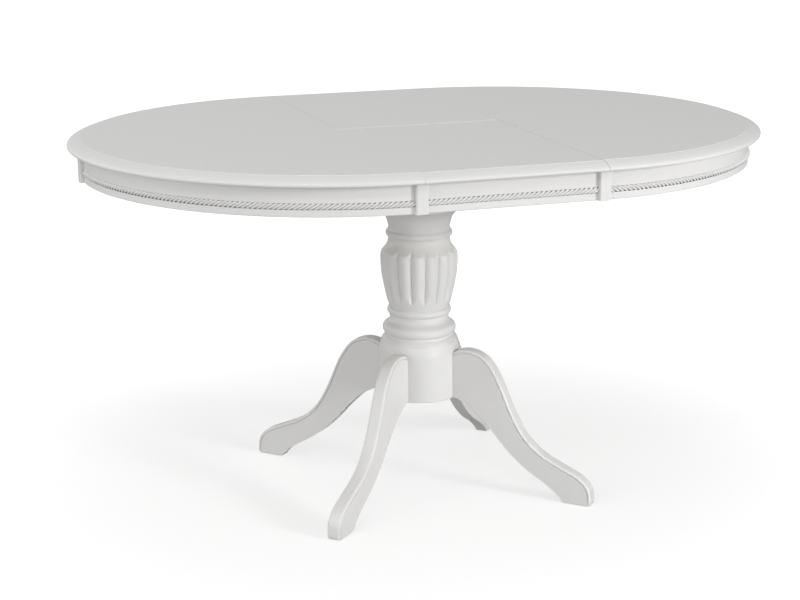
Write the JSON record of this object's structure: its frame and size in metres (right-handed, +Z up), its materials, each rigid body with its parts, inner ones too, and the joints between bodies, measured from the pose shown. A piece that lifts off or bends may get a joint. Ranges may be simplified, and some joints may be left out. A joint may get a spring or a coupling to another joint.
{
  "type": "round pedestal extension dining table",
  "caption": "Round extension dining table on a turned pedestal with sawn legs; the top's halves slide apart on wooden runners and a leaf folds in two along its middle.",
  "frame": {"origin": "on the floor under the column's axis, midway between the two half tops", "axes": "+X is the direction the halves slide apart in, +Z is up, -Y is the front"},
  "size_m": [1.41, 1.06, 0.76],
  "materials": {
    "lacquered_wood": "warm white satin lacquer",
    "beech": "bare planed beech",
    "plywood": "bare birch plywood",
    "zinc_steel": "zinc plated",
    "brass": "machined brass",
    "nylon": "moulded nylon"
  },
  "bodies": {
    "pedestal": {"bearer_left": "beech", "bearer_right": "beech", "column": "lacquered_wood", "fixed_rail_back": "beech", "fixed_rail_front": "beech", "glide_back_left": "nylon", "glide_back_right": "nylon", "glide_front_left": "nylon", "glide_front_right": "nylon", "leg_back_left": "lacquered_wood", "leg_back_right": "lacquered_wood", "leg_bolt_back_left": "zinc_steel", "leg_bolt_back_right": "zinc_steel", "leg_bolt_front_left": "zinc_steel", "leg_bolt_front_right": "zinc_steel", "leg_front_left": "lacquered_wood", "leg_front_right": "lacquered_wood", "mounting_plate": "plywood", "pinion_post": "zinc_steel", "plate_screw_back_left": "zinc_steel", "plate_screw_back_right": "zinc_steel", "plate_screw_front_left": "zinc_steel", "plate_screw_front_right": "zinc_steel"},
    "left_half": {"left_apron": "lacquered_wood", "left_block_back": "lacquered_wood", "left_block_front": "lacquered_wood", "left_end_block": "lacquered_wood", "left_rack": "zinc_steel", "left_rack_block": "beech", "left_rope": "lacquered_wood", "left_runner_back": "beech", "left_runner_front": "beech", "left_top": "lacquered_wood"},
    "right_half": {"right_apron": "lacquered_wood", "right_block_back": "lacquered_wood", "right_block_front": "lacquered_wood", "right_end_block": "lacquered_wood", "right_rack": "zinc_steel", "right_rack_block": "beech", "right_rope": "lacquered_wood", "right_runner_back": "beech", "right_runner_front": "beech", "right_top": "lacquered_wood"},
    "pinion": {"pinion": "zinc_steel"},
    "leaf_back": {"leaf_back_apron": "lacquered_wood", "leaf_back_barrel_left": "brass", "leaf_back_barrel_right": "brass", "leaf_back_block_left": "lacquered_wood", "leaf_back_block_right": "lacquered_wood", "leaf_back_panel": "lacquered_wood", "leaf_back_rope": "lacquered_wood"},
    "leaf_front": {"leaf_front_apron": "lacquered_wood", "leaf_front_barrel_left": "brass", "leaf_front_barrel_right": "brass", "leaf_front_block_left": "lacquered_wood", "leaf_front_block_right": "lacquered_wood", "leaf_front_panel": "lacquered_wood", "leaf_front_rope": "lacquered_wood"},
    "left_latch": {"left_latch": "zinc_steel"},
    "right_latch": {"right_latch": "zinc_steel"}
  },
  "joints": [
    {"name": "left_slide", "type": "slide", "parent": "pedestal", "child": "left_half", "axis": [-1, 0, 0], "range_m": [0, 0.03]},
    {"name": "right_slide", "type": "slide", "parent": "pedestal", "child": "right_half", "axis": [1, 0, 0], "range_m": [0, 0.03]},
    {"name": "pinion_turn", "type": "hinge", "parent": "pedestal", "child": "pinion", "pos_m": [0, 0, 0.72], "axis": [0, 0, -1], "range_deg": [0, 125]},
    {"name": "leaf_lift", "type": "slide", "parent": "pedestal", "child": "leaf_back", "axis": [0, 0, 1], "range_m": [0, 0.15]},
    {"name": "leaf_fold", "type": "hinge", "parent": "leaf_back", "child": "leaf_front", "pos_m": [0, 0, 0.7603], "axis": [-1, 0, 0], "range_deg": [0, 180]},
    {"name": "left_latch_turn", "type": "hinge", "parent": "left_half", "child": "left_latch", "pos_m": [-0.205, -0.33, 0.735], "axis": [0, 0, -1], "range_deg": [0, 90]},
    {"name": "right_latch_turn", "type": "hinge", "parent": "right_half", "child": "right_latch", "pos_m": [0.205, 0.33, 0.735], "axis": [0, 0, -1], "range_deg": [0, 90]}
  ],
  "couplings": [
    {"joint": "right_slide", "follows": "left_slide", "ratio": 1},
    {"joint": "pinion_turn", "follows": "left_slide", "rad_per_m": 71.429}
  ]
}
